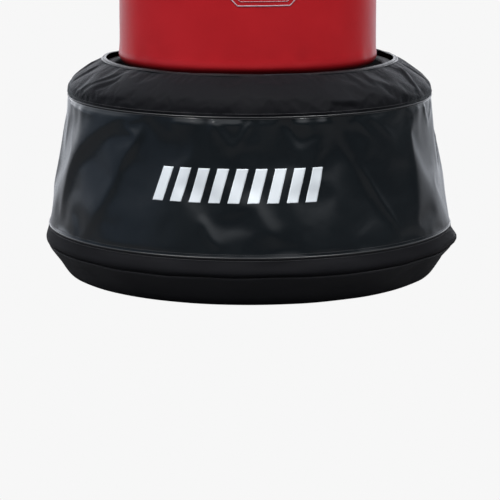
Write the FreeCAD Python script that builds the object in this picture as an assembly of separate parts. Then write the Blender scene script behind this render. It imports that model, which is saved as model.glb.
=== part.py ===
"""Free-standing punching bag: a water-filled base under a fabric cover, and a foam bag that screws onto its neck.

Millimetres, +Z up. The origin is on the floor, at the middle of the base. The front faces -Y and the zip is at
the back, on +Y. Outlines are lists of (radius, height, fillet) corners, turned about Z.
"""

import math
import os

import FreeCAD
import Part

# ---- the bag
BAG_RADIUS = 228.6
BAG_TOP = 1753.0
BAG_BOTTOM = 372.0
BAG_FOOT_ROUND = 18.0
VINYL = 1.6
CORE_RADIUS = 125.0
CORE_WALL = 4.5
CORE_TOP = 1700.0
FOAM_TOP_PAD = 42.0
SKIN_GAP = 0.3
TOP_WELT = 2.0
BAG_SHOULDER = 11.0
BOTTOM_HEM = 26.0

# ---- the zip up the back of the bag
ZIP_LOW = 402.0
ZIP_HIGH = 1690.0
ZIP_SLOT = 16.0
ZIP_CHAIN = 6.4
CHAIN_HEIGHT = 2.4
TAPE = 1.2
TRIM_GAP = 0.02
SLIDER_LENGTH = 24.0
SLIDER_WIDTH = 12.0
PULL_LENGTH = 38.0

# ---- the joint between bag and base
NECK_ROOT = 95.5
NECK_TOP = 446.0
THREAD_PITCH = 14.0
THREAD_DEPTH = 4.5
THREAD_ROOT_WIDTH = 7.2
THREAD_CREST_WIDTH = 4.8
THREAD_CLEARANCE = 1.2
SOCKET_RADIUS = 112.0
SOCKET_TOP = 452.0
WAIST_TOP = 520.0
BOSS_RADIUS = 118.0
BOSS_TOP = 366.0
FACE_GAP = 0.3

# ---- the base: outer line of its cover, then the tank inside it
FLOOR_RADIUS = 325.0
BOWL_RADIUS = 345.0
BOWL_HEIGHT = 22.0
BULGE_RADIUS = 368.0
BULGE_HEIGHT = 60.0
TUCK_PLACE = 0.87
LOW_SEAM_RADIUS = 362.0
LOW_SEAM_HEIGHT = 86.0
WAIST_RADIUS = 333.0
WAIST_HEIGHT = 240.0
TOP_SEAM_RADIUS = 324.0
TOP_SEAM_HEIGHT = 322.0
YOKE_RADIUS = 286.0
YOKE_HEIGHT = 370.0
COLLAR_RADIUS = 258.0
COLLAR_HEIGHT = 384.0
CLOTH = 2.0
FLOOR_CLOTH = 3.0
HEM_RADIUS = 200.0
HEM_WIDTH = 18.0
HEM_HEIGHT = 8.0
COVER_EASE = 6.0
TANK_WALL = 5.0
WELL_RADIUS = 241.0
WELL_FLOOR = 346.0
RIM_TOP = 375.0
WATER_LEVEL = 318.0

# ---- the filler spout on top of the neck
SPOUT_BORE = 25.0
SPOUT_ROOT = 29.5
SPOUT_TOP = 472.0
CAP_RADIUS = 40.0
CAP_PITCH = 5.0
CAP_THREAD_DEPTH = 1.6
GASKET = 3.0

AXIS = FreeCAD.Vector(0, 0, 1)
ORIGIN = FreeCAD.Vector(0, 0, 0)


# ------------------------------------------------------------------ outlines
def rounded_wire(corners):
    """A closed wire in the XZ plane through (radius, height, fillet) corners, each fillet a tangent arc."""
    points = [FreeCAD.Vector(c[0], 0, c[1]) for c in corners]
    fillets = [c[2] if len(c) > 2 else 0.0 for c in corners]
    count = len(points)
    edges = []
    starts, ends, middles = [], [], []
    for i, here in enumerate(points):
        back = (points[i - 1] - here).normalize()
        on = (points[(i + 1) % count] - here).normalize()
        if fillets[i] <= 0:
            starts.append(here)
            ends.append(here)
            middles.append(None)
            continue
        half = back.getAngle(on) / 2
        run = fillets[i] / math.tan(half)
        centre = here + (back + on).normalize() * (fillets[i] / math.sin(half))
        starts.append(here + back * run)
        ends.append(here + on * run)
        middles.append(centre + (here - centre).normalize() * fillets[i])
    for i in range(count):
        if middles[i] is not None:
            edges.append(Part.Arc(starts[i], middles[i], ends[i]).toShape())
        nxt = starts[(i + 1) % count]
        if ends[i].distanceToPoint(nxt) > 1e-6:
            edges.append(Part.LineSegment(ends[i], nxt).toShape())
    return Part.Wire(edges)


def turned(corners):
    """The solid of revolution of a closed outline about Z."""
    return Part.Face(rounded_wire(corners)).revolve(ORIGIN, AXIS, 360)


def left_normal(a, b):
    length = math.hypot(b[0] - a[0], b[1] - a[1])
    return (-(b[1] - a[1]) / length, (b[0] - a[0]) / length)


def inset(corners, distance):
    """An open outline moved to its left-hand side by distance, with its fillets concentric."""
    moved = []
    for i, corner in enumerate(corners):
        normals = []
        if i > 0:
            normals.append(left_normal(corners[i - 1], corner))
        if i < len(corners) - 1:
            normals.append(left_normal(corner, corners[i + 1]))
        nx = sum(n[0] for n in normals) / len(normals)
        nz = sum(n[1] for n in normals) / len(normals)
        reach = distance / (nx * nx + nz * nz)
        fillet = corner[2] if len(corner) > 2 else 0.0
        if fillet > 0:
            turn = normals[0][0] * normals[-1][1] - normals[0][1] * normals[-1][0]
            fillet = max(0.4, fillet - math.copysign(distance, turn))
        moved.append((corner[0] + nx * reach, corner[1] + nz * reach, fillet))
    return moved


def between(a, b, part):
    """The corner a given part of the way along the straight line from a to b."""
    return (a[0] + part * (b[0] - a[0]), a[1] + part * (b[1] - a[1]))


def sheet(corners, thickness):
    """A turned sheet of cloth whose outer face follows an open outline that runs upwards."""
    inner = inset(corners, thickness)
    return turned(list(corners) + inner[::-1])


def ring(radius, height, section):
    """A round cord bent into a ring about Z."""
    return Part.makeTorus(radius, section, FreeCAD.Vector(0, 0, height), AXIS)


def tube(outer, inner, low, high):
    return turned([(inner, low), (outer, low), (outer, high), (inner, high)])


def box(x, y, z, wide, deep, tall):
    """A box centred on x and y, standing on z."""
    return Part.makeBox(wide, deep, tall, FreeCAD.Vector(x - wide / 2, y - deep / 2, z))


def sector(inner, outer, low, high, half_width, middle):
    """A block about the +Y side between two radii, from middle - half_width to middle + half_width along X."""
    shape = tube(outer, inner, low, high)
    return shape.common(box(middle, (inner + outer) / 2, low, 2 * half_width, outer - inner + 30, high - low))


def thread(radius, outwards, pitch, turns, low, depth, root_width, crest_width, bury):
    """A helical ridge standing outwards or inwards from a wall of that radius, buried in it by bury."""
    side = 1.0 if outwards else -1.0
    root = radius - side * bury
    crest = radius + side * depth
    section = [
        FreeCAD.Vector(root, 0, low - root_width / 2),
        FreeCAD.Vector(crest, 0, low - crest_width / 2),
        FreeCAD.Vector(crest, 0, low + crest_width / 2),
        FreeCAD.Vector(root, 0, low + root_width / 2),
    ]
    profile = Part.makePolygon(section + section[:1])
    helix = Part.makeHelix(pitch, pitch * turns, radius)
    helix.translate(FreeCAD.Vector(0, 0, low))
    return Part.Wire(helix.Edges).makePipeShell([profile], True, True)


# ------------------------------------------------------------------ base cover
def cover_line():
    """Outer line of the base cover, from the floor up to the collar."""
    return {
        "floor": (FLOOR_RADIUS, 0.0, 3.0),
        "bowl": (BOWL_RADIUS, BOWL_HEIGHT, 60.0),
        "bulge": (BULGE_RADIUS, BULGE_HEIGHT, 6.0),
        "low_seam": (LOW_SEAM_RADIUS, LOW_SEAM_HEIGHT),
        "waist": (WAIST_RADIUS, WAIST_HEIGHT, 400.0),
        "top_seam": (TOP_SEAM_RADIUS, TOP_SEAM_HEIGHT),
        "shoulder": (TOP_SEAM_RADIUS - 2, TOP_SEAM_HEIGHT + 19, 14.0),
        "yoke": (YOKE_RADIUS, YOKE_HEIGHT, 30.0),
        "collar": (COLLAR_RADIUS, COLLAR_HEIGHT),
    }


def cover_floor_panel():
    """Non-slip cloth under the base, with the hem channel that holds the elastic."""
    flat = tube(FLOOR_RADIUS - 3, HEM_RADIUS, 0, FLOOR_CLOTH)
    roll = tube(HEM_RADIUS + HEM_WIDTH, HEM_RADIUS, 0, HEM_HEIGHT)
    channel = tube(HEM_RADIUS + HEM_WIDTH - 2.5, HEM_RADIUS + 2.5, 2.2, HEM_HEIGHT - 2.2)
    return flat.fuse(roll).removeSplitter().cut(channel)


def hem_elastic():
    return tube(HEM_RADIUS + HEM_WIDTH - 3.5, HEM_RADIUS + 3.5, 2.9, HEM_HEIGHT - 2.9)


def cover_lower_panel():
    line = cover_line()
    start = (FLOOR_RADIUS - 3, 0.0)
    end = between(line["bowl"], line["bulge"], TUCK_PLACE - 0.01)
    return sheet([start, line["floor"], line["bowl"], end], CLOTH)


def cover_band():
    """The plain band between the low seam and the tuck under the bulge."""
    line = cover_line()
    start = between(line["bowl"], line["bulge"], TUCK_PLACE)
    return sheet([start, line["bulge"], line["low_seam"]], CLOTH)


def cover_skirt():
    line = cover_line()
    low, high = line["low_seam"], line["top_seam"]
    return sheet([(low[0], low[1] + 0.4), line["waist"], (high[0], high[1] - 0.4)], CLOTH)


def cover_yoke():
    line = cover_line()
    start = (TOP_SEAM_RADIUS, TOP_SEAM_HEIGHT + 0.4)
    return sheet([start, line["shoulder"], line["yoke"], line["collar"]], CLOTH)


def collar_binding():
    """Folded tape over the yoke's free edge: outer leg, top and inner leg round a slot for the yoke."""
    line = cover_line()
    yoke, collar = line["yoke"], line["collar"]
    length = math.hypot(yoke[0] - collar[0], yoke[1] - collar[1])
    along = ((collar[0] - yoke[0]) / length, (collar[1] - yoke[1]) / length)
    foot = (collar[0] - 14 * along[0], collar[1] - 14 * along[1])
    tip = (collar[0] + 1.0 * along[0], collar[1] + 1.0 * along[1])
    outer = inset([foot, tip], -1.0)
    inner = inset([foot, tip], CLOTH + 1.0)
    whole = turned([outer[0], outer[1], inner[1], inner[0]])
    slot_line = inset([foot, collar], -0.2)
    slot_back = inset([foot, collar], CLOTH + 0.2)
    start = (-3 * along[0], -3 * along[1])
    slot = turned([
        (slot_line[0][0] + start[0], slot_line[0][1] + start[1]),
        slot_line[1],
        slot_back[1],
        (slot_back[0][0] + start[0], slot_back[0][1] + start[1]),
    ])
    return whole.cut(slot)


def seam_welt(radius, height):
    return ring(radius + 1.9, height, 1.7)


# ------------------------------------------------------------------ tank
def tank_outline():
    """Outer line of the tank from the middle of its foot to the well, running upwards."""
    ease = COVER_EASE
    return [
        (HEM_RADIUS + HEM_WIDTH + 6, HEM_HEIGHT + 4, 6.0),
        (HEM_RADIUS + HEM_WIDTH + 14, FLOOR_CLOTH, 6.0),
        (FLOOR_RADIUS - ease - 2, FLOOR_CLOTH, 8.0),
        (BOWL_RADIUS - ease, BOWL_HEIGHT + 3, 60.0),
        (BULGE_RADIUS - ease - 1, BULGE_HEIGHT + 2, 14.0),
        (WAIST_RADIUS - ease - 4, WAIST_HEIGHT, 300.0),
        (TOP_SEAM_RADIUS - ease - 1, TOP_SEAM_HEIGHT + 8, 26.0),
        (COLLAR_RADIUS - 2, RIM_TOP, 5.0),
        (WELL_RADIUS, RIM_TOP, 5.0),
        (WELL_RADIUS - 3, WELL_FLOOR, 6.0),
        (BOSS_RADIUS + 3, WELL_FLOOR, 5.0),
        (BOSS_RADIUS, BOSS_TOP, 2.0),
        (NECK_ROOT, BOSS_TOP, 0.0),
        (NECK_ROOT, NECK_TOP, 3.0),
        (SPOUT_ROOT, NECK_TOP, 0.0),
        (SPOUT_ROOT, SPOUT_TOP, 0.0),
    ]


def tank_cavity_outline():
    """Inner line of the tank wall, from the floor of the cavity up to the mouth of the spout."""
    ease = COVER_EASE + TANK_WALL
    wall = TANK_WALL
    return [
        (HEM_RADIUS + HEM_WIDTH + 6, HEM_HEIGHT + 4 + wall, 6.0),
        (HEM_RADIUS + HEM_WIDTH + 17, FLOOR_CLOTH + wall, 6.0),
        (FLOOR_RADIUS - ease - 2, FLOOR_CLOTH + wall, 6.0),
        (BOWL_RADIUS - ease, BOWL_HEIGHT + 5, 55.0),
        (BULGE_RADIUS - ease - 1, BULGE_HEIGHT + 2, 10.0),
        (WAIST_RADIUS - ease - 4, WAIST_HEIGHT, 300.0),
        (TOP_SEAM_RADIUS - ease - 1, TOP_SEAM_HEIGHT + 5, 21.0),
        (COLLAR_RADIUS - 4, RIM_TOP - wall, 3.0),
        (WELL_RADIUS + wall, RIM_TOP - wall, 0.0),
        (WELL_RADIUS - 3 + wall, WELL_FLOOR - wall, 8.0),
        (BOSS_RADIUS - 2, WELL_FLOOR - wall, 6.0),
        (BOSS_RADIUS - wall, BOSS_TOP - wall, 2.0),
        (NECK_ROOT - wall, BOSS_TOP - wall, 4.0),
        (NECK_ROOT - wall, NECK_TOP - wall, 4.0),
        (SPOUT_BORE, NECK_TOP - wall, 2.0),
        (SPOUT_BORE, SPOUT_TOP, 0.0),
    ]


def base_tank():
    """Hollow moulded tank with its threaded neck and filler spout."""
    outside = tank_outline()
    inside = tank_cavity_outline()
    body = turned([(0.0, outside[0][1])] + outside + [(0.0, SPOUT_TOP)])
    cavity = turned([(0.0, inside[0][1])] + inside + [(0.0, SPOUT_TOP)])
    body = body.cut(cavity)
    neck_thread = thread(
        NECK_ROOT, True, THREAD_PITCH, 3.5, BOSS_TOP + 22, THREAD_DEPTH, THREAD_ROOT_WIDTH, THREAD_CREST_WIDTH, 1.5
    )
    spout_thread = thread(SPOUT_ROOT, True, CAP_PITCH, 2.5, NECK_TOP + 9, CAP_THREAD_DEPTH, 2.4, 1.2, 0.8)
    return body.fuse([neck_thread, spout_thread])


def water_ballast():
    """The water that fills the tank up to its level, half a millimetre clear of the walls."""
    inside = inset(tank_cavity_outline()[:7], 0.5)
    block = turned([(0.0, inside[0][1])] + inside + [(0.0, inside[-1][1])])
    return block.common(tube(BULGE_RADIUS, 0, 0, WATER_LEVEL))


def fill_cap():
    """Screw cap with finger flutes round its skirt."""
    low = NECK_TOP + 3
    high = SPOUT_TOP + GASKET + 6
    bore = SPOUT_ROOT + CAP_THREAD_DEPTH + 0.5
    body = turned([(0, low), (CAP_RADIUS, low), (CAP_RADIUS, high, 4.0), (0, high)])
    body = body.cut(Part.makeCylinder(bore, SPOUT_TOP + GASKET + 0.3 - low, FreeCAD.Vector(0, 0, low)))
    flutes = []
    count = 16
    for i in range(count):
        angle = 2 * math.pi * i / count
        place = FreeCAD.Vector((CAP_RADIUS + 2) * math.cos(angle), (CAP_RADIUS + 2) * math.sin(angle), low - 1)
        flutes.append(Part.makeCylinder(4.2, high - low - 5, place))
    body = body.cut(flutes)
    inner = thread(bore, False, CAP_PITCH, 2.5, NECK_TOP + 9 + CAP_PITCH / 2, CAP_THREAD_DEPTH, 2.4, 1.2, 0.8)
    return body.fuse(inner)


def cap_gasket():
    return tube(SPOUT_ROOT + CAP_THREAD_DEPTH, SPOUT_BORE + 0.5, SPOUT_TOP + 0.15, SPOUT_TOP + GASKET)


def seat_ring():
    """Rubber ring that the bag's socket is tightened down on."""
    return tube(BOSS_RADIUS - 2, NECK_ROOT + THREAD_DEPTH + 3, BOSS_TOP + FACE_GAP, BAG_BOTTOM - FACE_GAP)


# ------------------------------------------------------------------ core
def core_socket():
    """Threaded lower end of the core."""
    bore = NECK_ROOT + THREAD_DEPTH + THREAD_CLEARANCE
    wall = turned([
        (bore, BAG_BOTTOM), (SOCKET_RADIUS, BAG_BOTTOM, 2.0), (SOCKET_RADIUS, SOCKET_TOP), (bore, SOCKET_TOP),
    ])
    low = BOSS_TOP + 22 + THREAD_PITCH / 2
    ridge = thread(
        bore, False, THREAD_PITCH, 3.0, low, THREAD_DEPTH, THREAD_ROOT_WIDTH, THREAD_CREST_WIDTH, 1.5
    )
    return wall.fuse(ridge)


def core_waist():
    """Corrugated wall between the socket and the core tube, which is what bends when the bag is struck."""
    folds = 3
    low, high = SOCKET_TOP + 0.05, WAIST_TOP - 0.05
    narrow, wide = SOCKET_RADIUS - 2.0, CORE_RADIUS - 3.0
    step = (high - low - 20) / (2 * folds)
    outline = [(narrow, low), (narrow, low + 8, 3.0)]
    for fold in range(folds):
        foot = low + 8 + 2 * fold * step
        outline.append((wide, foot + step, 4.0))
        if fold < folds - 1:
            outline.append((narrow, foot + 2 * step, 4.0))
    outline.append((CORE_RADIUS - 1.0, high - 8, 3.0))
    outline.append((CORE_RADIUS - 1.0, high))
    return sheet(outline, 2.6)


def core_tube():
    """Closed-topped plastic tube inside the foam."""
    outer = turned([(0, WAIST_TOP), (CORE_RADIUS, WAIST_TOP), (CORE_RADIUS, CORE_TOP, 40.0), (0, CORE_TOP)])
    inner = turned([
        (0, WAIST_TOP - 1), (CORE_RADIUS - CORE_WALL, WAIST_TOP - 1),
        (CORE_RADIUS - CORE_WALL, CORE_TOP - CORE_WALL, 36.0), (0, CORE_TOP - CORE_WALL),
    ])
    return outer.cut(inner)


# ------------------------------------------------------------------ foam and bag cover
def foam_radius():
    return BAG_RADIUS - VINYL - SKIN_GAP


def foam_foot():
    return BAG_BOTTOM + VINYL + SKIN_GAP


def skin_top():
    """Height of the vinyl's outer face at the top of the bag, under its welt."""
    return BAG_TOP - 2 * TOP_WELT - 0.15


def foam_top():
    return skin_top() - VINYL - SKIN_GAP


def foam_wrap():
    """Foam tube round the core, wider inside at its foot so that the waist is free to bend."""
    top = foam_top() - FOAM_TOP_PAD
    outer = foam_radius()
    return turned([
        (CORE_RADIUS + 11, foam_foot(), 0.0),
        (outer, foam_foot(), BAG_FOOT_ROUND - SKIN_GAP),
        (outer, top, 0.0),
        (CORE_RADIUS + 0.5, top, 0.0),
        (CORE_RADIUS + 0.5, WAIST_TOP + 14, 0.0),
        (CORE_RADIUS + 11, WAIST_TOP - 2, 0.0),
    ])


def foam_top_pad():
    high = foam_top()
    low = high - FOAM_TOP_PAD
    round_edge = BAG_SHOULDER - VINYL - SKIN_GAP
    return turned([(0, low), (foam_radius(), low), (foam_radius(), high, round_edge), (0, high)])


def bag_cover_side():
    """Vinyl tube with its foot turned in under the foam, and the slot for the zip at the back."""
    outline = [
        (BAG_RADIUS - BOTTOM_HEM, BAG_BOTTOM),
        (BAG_RADIUS, BAG_BOTTOM, BAG_FOOT_ROUND + VINYL),
        (BAG_RADIUS, skin_top(), BAG_SHOULDER),
        (BAG_RADIUS - BAG_SHOULDER - 1, skin_top()),
    ]
    wall = sheet(outline, VINYL)
    slot = box(0, BAG_RADIUS, ZIP_LOW, ZIP_SLOT, 20, ZIP_HIGH - ZIP_LOW)
    return wall.cut(slot)


def bag_cover_top():
    """Round vinyl panel that closes the top, flush with the edge of the side panel."""
    return Part.makeCylinder(BAG_RADIUS - BAG_SHOULDER - 1.3, VINYL, FreeCAD.Vector(0, 0, skin_top() - VINYL))


def bag_cover_bottom():
    return tube(BAG_RADIUS - BOTTOM_HEM - 0.3, CORE_RADIUS + 12, BAG_BOTTOM, BAG_BOTTOM + VINYL)


def bag_top_welt():
    """Piping over the seam between the side and top panels."""
    return ring(BAG_RADIUS - BAG_SHOULDER - 1.1, BAG_TOP - TOP_WELT, TOP_WELT)


# ------------------------------------------------------------------ zip
def zip_tape(side):
    """One woven tape of the zip, on the left (-1) or the right (1) of its chain."""
    inner = BAG_RADIUS - VINYL
    half = (ZIP_SLOT / 2 - 0.1) / 2
    return sector(inner, inner + TAPE, ZIP_LOW + 0.2, ZIP_HIGH - 0.2, half - TRIM_GAP, side * half)


def tape_face():
    """Radius at which the teeth and the stops sit on the tapes."""
    return BAG_RADIUS - VINYL + TAPE + TRIM_GAP


def zip_chain():
    """The closed teeth, as one bar along the middle of the tapes."""
    inner = tape_face()
    return sector(inner, inner + CHAIN_HEIGHT, ZIP_LOW + 2, ZIP_HIGH - 8, ZIP_CHAIN / 2, 0)


def zip_stops():
    """Metal end stops, one at each end of the chain."""
    inner = tape_face()
    low = sector(inner, inner + 3.0, ZIP_LOW + 0.3, ZIP_LOW + 1.9, ZIP_CHAIN / 2 + 1, 0)
    high = sector(inner, inner + 3.0, ZIP_HIGH - 7.9, ZIP_HIGH - 3, ZIP_CHAIN / 2 + 1, 0)
    return Part.makeCompound([low, high])


def slider_place():
    """Height of the slider's foot and the radius of its top face."""
    return ZIP_LOW + 4.0, tape_face() + CHAIN_HEIGHT + 0.4 + 2.0


def zip_slider():
    """Saddle over the chain with two lugs and the bar that the pull hangs from."""
    foot, top = slider_place()
    floor = BAG_RADIUS - VINYL + TAPE + 0.5
    body = box(0, (floor + top) / 2, foot, SLIDER_WIDTH, top - floor, SLIDER_LENGTH)
    wedge = [
        FreeCAD.Vector(-SLIDER_WIDTH, floor - 1, foot - 1),
        FreeCAD.Vector(-SLIDER_WIDTH, floor - 1, foot + 9),
        FreeCAD.Vector(-SLIDER_WIDTH / 2 + 2.2, floor - 1, foot - 1),
    ]
    corner = Part.Face(Part.makePolygon(wedge + wedge[:1])).extrude(FreeCAD.Vector(0, top - floor + 3, 0))
    body = body.cut([corner, corner.mirror(ORIGIN, FreeCAD.Vector(1, 0, 0))])
    channel_top = top - 2.0
    body = body.cut(box(0, (floor + channel_top) / 2 - 1, foot - 1, ZIP_CHAIN + 1.0, channel_top - floor + 2,
                        SLIDER_LENGTH + 2))
    pivot = pull_pivot()
    lugs = []
    for side in (-1, 1):
        lugs.append(box(side * 3.7, top + 1.7, pivot.z - 2.5, 1.6, 4.0, 5.0))
    bar = Part.makeCylinder(1.0, 9.0, FreeCAD.Vector(-4.5, pivot.y, pivot.z), FreeCAD.Vector(1, 0, 0))
    return body.fuse(lugs + [bar])


def pull_pivot():
    foot, top = slider_place()
    return FreeCAD.Vector(0, top + 2.5, foot + SLIDER_LENGTH / 2)


def zip_pull():
    """Pull tab: an eye round the slider's bar, and a flat grip with a hole in its end."""
    pivot = pull_pivot()
    across = FreeCAD.Vector(1, 0, 0)
    eye = Part.makeCylinder(2.0, 4.8, FreeCAD.Vector(-2.4, pivot.y, pivot.z), across)
    stem = box(0, pivot.y + 1.0, pivot.z - 10, 4.8, 1.6, 10)
    grip = box(0, pivot.y + 1.0, pivot.z - PULL_LENGTH, 9.0, 1.6, PULL_LENGTH - 8)
    tab = eye.fuse([stem, grip])
    hole = Part.makeCylinder(1.35, 12, FreeCAD.Vector(-6, pivot.y, pivot.z), across)
    end_hole = Part.makeCylinder(2.4, 10, FreeCAD.Vector(0, pivot.y - 5, pivot.z - PULL_LENGTH + 5),
                                 FreeCAD.Vector(0, 1, 0))
    return tab.cut([hole, end_hole])


# ------------------------------------------------------------------ write the parts
def all_parts():
    line = cover_line()
    return {
        "base_tank": base_tank(),
        "water_ballast": water_ballast(),
        "fill_cap": fill_cap(),
        "cap_gasket": cap_gasket(),
        "cover_floor_panel": cover_floor_panel(),
        "hem_elastic": hem_elastic(),
        "cover_lower_panel": cover_lower_panel(),
        "cover_band": cover_band(),
        "low_seam_welt": seam_welt(line["low_seam"][0], line["low_seam"][1]),
        "cover_skirt": cover_skirt(),
        "top_seam_welt": seam_welt(line["top_seam"][0], line["top_seam"][1]),
        "cover_yoke": cover_yoke(),
        "collar_binding": collar_binding(),
        "seat_ring": seat_ring(),
        "core_socket": core_socket(),
        "core_waist": core_waist(),
        "core_tube": core_tube(),
        "foam_wrap": foam_wrap(),
        "foam_top_pad": foam_top_pad(),
        "bag_cover_side": bag_cover_side(),
        "bag_cover_top": bag_cover_top(),
        "bag_cover_bottom": bag_cover_bottom(),
        "bag_top_welt": bag_top_welt(),
        "zip_tape_left": zip_tape(-1),
        "zip_tape_right": zip_tape(1),
        "zip_chain": zip_chain(),
        "zip_stops": zip_stops(),
        "zip_slider": zip_slider(),
        "zip_pull": zip_pull(),
    }


os.makedirs("parts", exist_ok=True)
for name, shape in all_parts().items():
    box_of = shape.BoundBox
    print(
        f"{name}: valid {shape.isValid()}, solids {len(shape.Solids)}, volume {shape.Volume / 1000:.1f} cm3, "
        f"z {box_of.ZMin:.1f} to {box_of.ZMax:.1f}, radius {max(box_of.XMax, -box_of.XMin):.1f}"
    )
    shape.exportStep(f"parts/{name}.step")
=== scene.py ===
"""Looks of the free-standing punching bag: its cloth, vinyl, zip, stitching, materials, light and camera."""

import math

import bmesh
import bpy
import numpy as np
from mathutils import Euler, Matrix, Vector
from mathutils.bvhtree import BVHTree


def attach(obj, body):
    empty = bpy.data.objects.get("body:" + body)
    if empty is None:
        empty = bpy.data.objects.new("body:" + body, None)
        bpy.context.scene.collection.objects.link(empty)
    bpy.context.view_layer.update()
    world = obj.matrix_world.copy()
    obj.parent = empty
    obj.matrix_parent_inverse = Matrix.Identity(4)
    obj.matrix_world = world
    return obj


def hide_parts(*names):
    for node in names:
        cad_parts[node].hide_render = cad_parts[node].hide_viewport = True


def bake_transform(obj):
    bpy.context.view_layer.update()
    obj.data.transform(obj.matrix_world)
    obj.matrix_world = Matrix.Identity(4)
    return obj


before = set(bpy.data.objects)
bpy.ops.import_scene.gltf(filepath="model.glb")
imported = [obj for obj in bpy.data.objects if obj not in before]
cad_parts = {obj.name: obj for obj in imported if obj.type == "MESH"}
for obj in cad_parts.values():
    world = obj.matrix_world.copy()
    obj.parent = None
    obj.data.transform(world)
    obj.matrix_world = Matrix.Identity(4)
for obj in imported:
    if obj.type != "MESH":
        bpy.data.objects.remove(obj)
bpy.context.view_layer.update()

# Degrees round the object: 0 at the front (-Y), +90 on the right (+X), 180 at the back. Lengths are in metres,
# but outlines, folds, and named radii and heights are in millimetres.
MM = 0.001
# In the photo the cover sits a little to the right of the bag.
COVER_SHIFT = 2.5 * MM
BAG_SHIFT = -1.0 * MM


# ================================== node tools
def feed(tree, value, socket):
    """Puts a number, a colour or another node's output on a socket."""
    if isinstance(value, bpy.types.NodeSocket):
        tree.links.new(value, socket)
    else:
        socket.default_value = value


def add_node(tree, kind, sockets=(), **settings):
    """Adds a shader node with those settings, and feeds its sockets, given as {name or number: value}."""
    node = tree.nodes.new("ShaderNode" + kind)
    for name, value in settings.items():
        setattr(node, name, value)
    for key, value in dict(sockets).items():
        feed(tree, value, node.inputs[key])
    return node


def remap(tree, value, low, high, start=0.3, end=0.7, kind="LINEAR"):
    """Maps a value between start and end to one between low and high."""
    sockets = {"Value": value, "From Min": start, "From Max": end, "To Min": low, "To Max": high}
    return add_node(tree, "MapRange", sockets, interpolation_type=kind).outputs["Result"]


def mix_colours(tree, factor, low, high, blend="MIX"):
    """The colour between low and high at a factor, or their sum where blend is ADD."""
    sockets = {0: factor, 6: low, 7: high}
    return add_node(tree, "Mix", sockets, data_type="RGBA", blend_type=blend).outputs[2]


def rgba(*colour):
    return (*colour, 1)


def new_object(name, data):
    """Puts data into the scene as an object of that name."""
    made = bpy.data.objects.new(name, data)
    bpy.context.scene.collection.objects.link(made)
    return made


# ================================== camera, floor and light
CAMERA_PLACE = (3.0 * MM, -4.2, 0.872)
CAMERA_PITCH = 11.32
CAMERA_LENS = 169.6
BACKDROP = rgba(0.93, 0.93, 0.93)
BLACK = rgba(0, 0, 0)
FLOOR_HALF = 30.0
SOFTBOX_SIZE = 1.8
SOFTBOX_TARGET = (0, 0, 0.4)


def make_camera():
    data = bpy.data.cameras.new("camera")
    data.lens = CAMERA_LENS
    data.sensor_width = 36.0
    camera = new_object("camera", data)
    camera.location = CAMERA_PLACE
    camera.rotation_euler = Euler((math.radians(90 - CAMERA_PITCH), 0, 0))
    bpy.context.scene.camera = camera


def make_softbox(name, place, power, colour):
    """A square softbox that points at the foot of the bag."""
    data = bpy.data.lights.new(name, "AREA")
    data.shape = "RECTANGLE"
    data.size = data.size_y = SOFTBOX_SIZE
    data.energy = power
    data.color = colour
    lamp = new_object(name, data)
    lamp.location = place
    direction = np.array(SOFTBOX_TARGET, float) - np.array(place, float)
    lamp.rotation_euler = Vector(direction).to_track_quat("-Z", "Y").to_euler()


def ramp(tree, factor, ends, between, tint):
    """A ramp with two (place, colour) ends and, between them, (place, level) stops of one tint."""
    node = add_node(tree, "ValToRGB", {"Fac": factor})
    stops = node.color_ramp.elements
    for index, (place, colour) in enumerate(ends):
        stops[index].position, stops[index].color = place, colour
    for place, level in between:
        stops.new(place).color = rgba(*[level * part for part in tint])
    return node.outputs["Color"]


def facing(tree, direction, axis):
    """How far a direction agrees with an axis, from -1 to 1."""
    return add_node(tree, "VectorMath", {0: direction, 1: axis}, operation="DOT_PRODUCT").outputs["Value"]


def show(tree, output, lit, seen):
    """Shows the camera's rays one shader, and all others another."""
    ray = add_node(tree, "LightPath").outputs["Is Camera Ray"]
    mix = add_node(tree, "MixShader", {0: ray, 1: lit.outputs[0], 2: seen.outputs[0]})
    add_node(tree, output, {0: mix.outputs[0]})


def make_world():
    """A white studio: a bright wall behind the object, a dim one on its left, and darkness in front."""
    world = bpy.data.worlds.new("studio")
    bpy.context.scene.world = world
    world.use_nodes = True
    tree = world.node_tree
    tree.nodes.clear()
    direction = add_node(tree, "TexCoord").outputs["Generated"]
    axes = add_node(tree, "SeparateXYZ", {0: direction}).outputs
    away = remap(tree, facing(tree, direction, (-0.04, 0.9992, 0.0)), 0.0, 1.0, -1.0, 1.0)
    back = ramp(tree, away, [(0.0, rgba(0.065, 0.07, 0.08)), (0.96, rgba(2.95, 3.0, 3.2))],
                [(0.60, 0.07), (0.70, 0.13), (0.80, 0.38), (0.885, 1.2)], (0.97, 1.02, 1.11))
    side = remap(tree, axes["X"], 0.0, 1.0, -0.60, -0.95, "SMOOTHSTEP")
    left = mix_colours(tree, side, BLACK, rgba(0.12, 0.155, 0.22))
    above = ramp(tree, axes["Z"], [(0.23, BLACK), (0.90, BLACK)], [(0.48, 0.8), (0.66, 0.7)], (1.0, 1.02, 1.07))
    walls = mix_colours(tree, 1.0, back, left, "ADD")
    lit = add_node(tree, "Background", {"Color": mix_colours(tree, 1.0, walls, above, "ADD")})
    show(tree, "OutputWorld", lit, add_node(tree, "Background", {"Color": BACKDROP}))


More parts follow.
